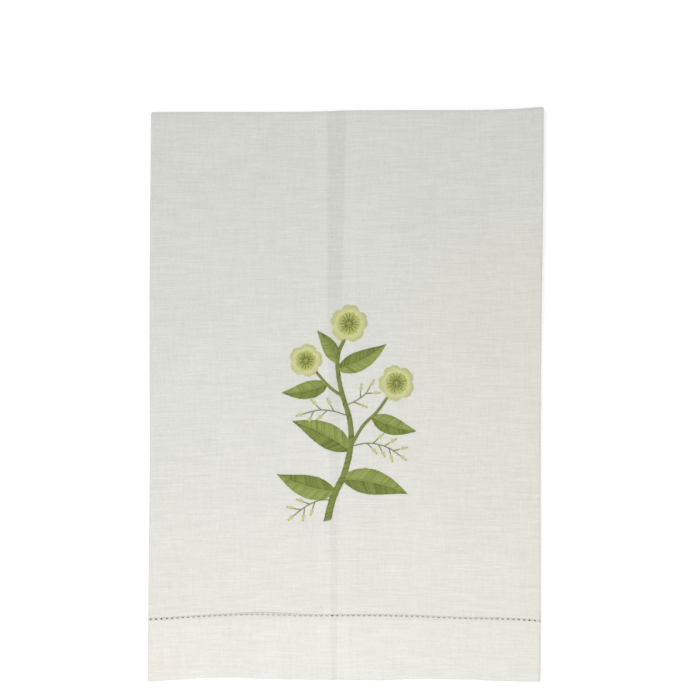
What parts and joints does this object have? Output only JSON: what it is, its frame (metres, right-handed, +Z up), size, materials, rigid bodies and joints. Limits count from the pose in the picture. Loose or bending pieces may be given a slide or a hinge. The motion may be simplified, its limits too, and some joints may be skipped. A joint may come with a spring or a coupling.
{
  "type": "folded hand towel",
  "caption": "Hemmed linen hand towel, both long sides folded behind the face and then folded in half crosswise, lying flat with its hem at the front.",
  "frame": {"origin": "under the middle of the folded towel, on the surface that it lies on", "axes": "+Z up, out of the face; +Y along the towel from its hem to its crosswise fold; +X across it, to the right of one who looks down at the face with the hem nearest"},
  "size_m": [0.1944, 0.2822, 0.0052],
  "materials": {
    "linen": "plain-weave white linen, matt and slubby, pressed",
    "hem_thread": "white linen sewing thread, drawn-thread hemstitch",
    "leaf_thread": "stranded cotton in leaf greens, satin stitch, soft sheen",
    "stem_thread": "stranded cotton in olive green, stem stitch, soft sheen",
    "petal_thread": "stranded cotton in pale lime and cream, satin stitch, soft sheen",
    "knot_thread": "stranded cotton in pale yellow-green, knotted"
  },
  "bodies": {
    "root": {"towel": "linen"}
  },
  "joints": []
}
